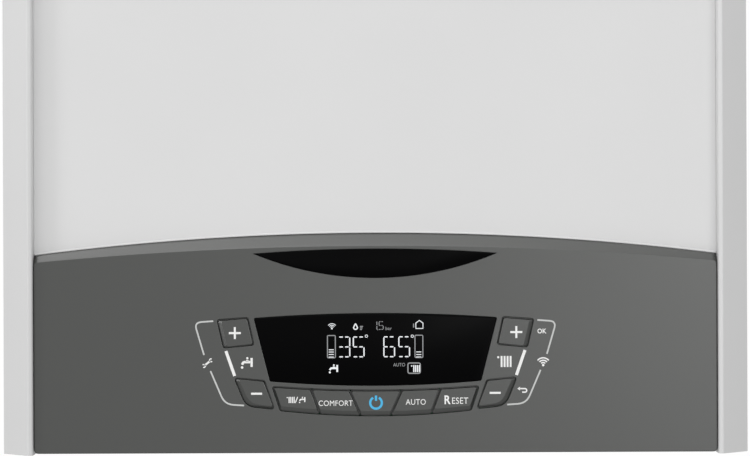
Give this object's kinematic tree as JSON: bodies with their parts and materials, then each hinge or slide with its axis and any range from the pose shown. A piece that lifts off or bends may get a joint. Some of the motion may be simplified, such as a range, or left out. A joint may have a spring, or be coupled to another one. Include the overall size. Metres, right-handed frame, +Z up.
{
  "type": "condensing boiler",
  "caption": "Wall-hung condensing boiler: white sheet casing, dark arched control panel with display and keys, sealed chamber, concentric flue and pipe unions below.",
  "frame": {"origin": "on the wall plane, in the middle of the hanging rail's back, at the height of its slots, 40 mm below the casing's top", "axes": "+Z up, front towards -Y, +X to the right when looking at the front"},
  "size_m": [0.4, 0.3191, 0.7907],
  "materials": {
    "white_paint": "satin white powder coat",
    "galvanised_steel": "plain zinc-coated sheet",
    "dark_plastic": "fine satin dark grey moulding",
    "black_gloss": "polished black lens",
    "black_plastic": "matt black moulding",
    "grey_plastic": "matt grey moulding",
    "green_board": "green circuit board",
    "stainless_steel": "stainless steel",
    "cast_aluminium": "as cast",
    "copper": "drawn copper tube",
    "brass": "turned brass",
    "red_paint": "red enamel",
    "white_ceramic": "glazed white"
  },
  "bodies": {
    "casing": {"side_panel_left": "white_paint", "side_panel_right": "white_paint", "top_cover": "white_paint", "rear_frame": "galvanised_steel", "hanging_rail": "galvanised_steel", "bottom_plate": "galvanised_steel", "front_crossbar": "galvanised_steel", "hinge_bracket_left": "galvanised_steel", "hinge_bracket_right": "galvanised_steel", "chamber_box": "galvanised_steel", "chamber_cover": "galvanised_steel", "heat_exchanger": "stainless_steel", "burner_door": "cast_aluminium", "burner": "stainless_steel", "ignition_electrode": "white_ceramic", "fan_housing": "cast_aluminium", "fan_motor": "black_plastic", "gas_mixer": "cast_aluminium", "mixture_duct": "black_plastic", "flue_collar": "white_paint", "flue_duct": "grey_plastic", "condensate_trap": "grey_plastic", "gas_valve": "cast_aluminium", "gas_pipe": "copper", "return_group": "black_plastic", "pump_motor": "black_plastic", "flow_group": "black_plastic", "diverter_motor": "grey_plastic", "plate_exchanger": "stainless_steel", "expansion_vessel": "red_paint", "vessel_hose": "stainless_steel", "flow_pipe": "copper", "return_pipe": "copper", "cable_gland": "black_plastic", "heating_flow_union": "brass", "hot_water_union": "brass", "gas_union": "brass", "cold_water_union": "brass", "heating_return_union": "brass"},
    "front_cover": {"front_cover": "white_paint"},
    "control_panel": {"control_fascia": "dark_plastic", "badge_lens": "black_gloss", "display_window": "black_gloss", "display_board": "green_board", "control_box_back": "black_plastic", "main_board": "green_board"},
    "fan_impeller": {"fan_impeller": "black_plastic"},
    "pump_impeller": {"pump_impeller": "black_plastic"},
    "diverter_spindle": {"diverter_spindle": "stainless_steel"},
    "filling_knob": {"filling_knob": "grey_plastic"},
    "safety_valve_knob": {"safety_valve_knob": "grey_plastic"},
    "button_water_plus": {"button_water_plus": "dark_plastic"},
    "button_water_minus": {"button_water_minus": "dark_plastic"},
    "button_heating_plus": {"button_heating_plus": "dark_plastic"},
    "button_heating_minus": {"button_heating_minus": "dark_plastic"},
    "button_mode": {"button_mode": "dark_plastic"},
    "button_comfort": {"button_comfort": "dark_plastic"},
    "button_power": {"button_power": "dark_plastic"},
    "button_auto": {"button_auto": "dark_plastic"},
    "button_reset": {"button_reset": "dark_plastic"}
  },
  "joints": [
    {"name": "front_cover_slide", "type": "slide", "parent": "casing", "child": "front_cover", "axis": [0, -1, 0], "range_m": [0, 0.3]},
    {"name": "control_panel_hinge", "type": "hinge", "parent": "casing", "child": "control_panel", "pos_m": [0, -0.2445, -0.695], "axis": [1, 0, 0], "range_deg": [0, 90]},
    {"name": "button_water_plus_press", "type": "slide", "parent": "control_panel", "child": "button_water_plus", "axis": [0, 1, 0], "range_m": [0, 0.001], "stiffness_N_per_m": 400, "springref_m": -0.002},
    {"name": "button_water_minus_press", "type": "slide", "parent": "control_panel", "child": "button_water_minus", "axis": [0, 1, 0], "range_m": [0, 0.001], "stiffness_N_per_m": 400, "springref_m": -0.002},
    {"name": "button_heating_plus_press", "type": "slide", "parent": "control_panel", "child": "button_heating_plus", "axis": [0, 1, 0], "range_m": [0, 0.001], "stiffness_N_per_m": 400, "springref_m": -0.002},
    {"name": "button_heating_minus_press", "type": "slide", "parent": "control_panel", "child": "button_heating_minus", "axis": [0, 1, 0], "range_m": [0, 0.001], "stiffness_N_per_m": 400, "springref_m": -0.002},
    {"name": "button_mode_press", "type": "slide", "parent": "control_panel", "child": "button_mode", "axis": [0, 1, 0], "range_m": [0, 0.001], "stiffness_N_per_m": 400, "springref_m": -0.002},
    {"name": "button_comfort_press", "type": "slide", "parent": "control_panel", "child": "button_comfort", "axis": [0, 1, 0], "range_m": [0, 0.001], "stiffness_N_per_m": 400, "springref_m": -0.002},
    {"name": "button_power_press", "type": "slide", "parent": "control_panel", "child": "button_power", "axis": [0, 1, 0], "range_m": [0, 0.001], "stiffness_N_per_m": 400, "springref_m": -0.002},
    {"name": "button_auto_press", "type": "slide", "parent": "control_panel", "child": "button_auto", "axis": [0, 1, 0], "range_m": [0, 0.001], "stiffness_N_per_m": 400, "springref_m": -0.002},
    {"name": "button_reset_press", "type": "slide", "parent": "control_panel", "child": "button_reset", "axis": [0, 1, 0], "range_m": [0, 0.001], "stiffness_N_per_m": 400, "springref_m": -0.002},
    {"name": "fan_spin", "type": "hinge", "parent": "casing", "child": "fan_impeller", "pos_m": [0.128, -0.19, -0.033], "axis": [0, 1, 0], "continuous": true},
    {"name": "pump_spin", "type": "hinge", "parent": "casing", "child": "pump_impeller", "pos_m": [0.125, -0.12, -0.53], "axis": [0, 1, 0], "continuous": true},
    {"name": "diverter_slide", "type": "slide", "parent": "casing", "child": "diverter_spindle", "axis": [0, 0, -1], "range_m": [0, 0.008]},
    {"name": "filling_tap_turn", "type": "hinge", "parent": "casing", "child": "filling_knob", "pos_m": [0.099, -0.075, -0.683], "axis": [0, 0, 1], "range_deg": [0, 180]},
    {"name": "safety_valve_turn", "type": "hinge", "parent": "casing", "child": "safety_valve_knob", "pos_m": [0.138, -0.15, -0.631], "axis": [0, -1, 0], "range_deg": [0, 90]}
  ]
}
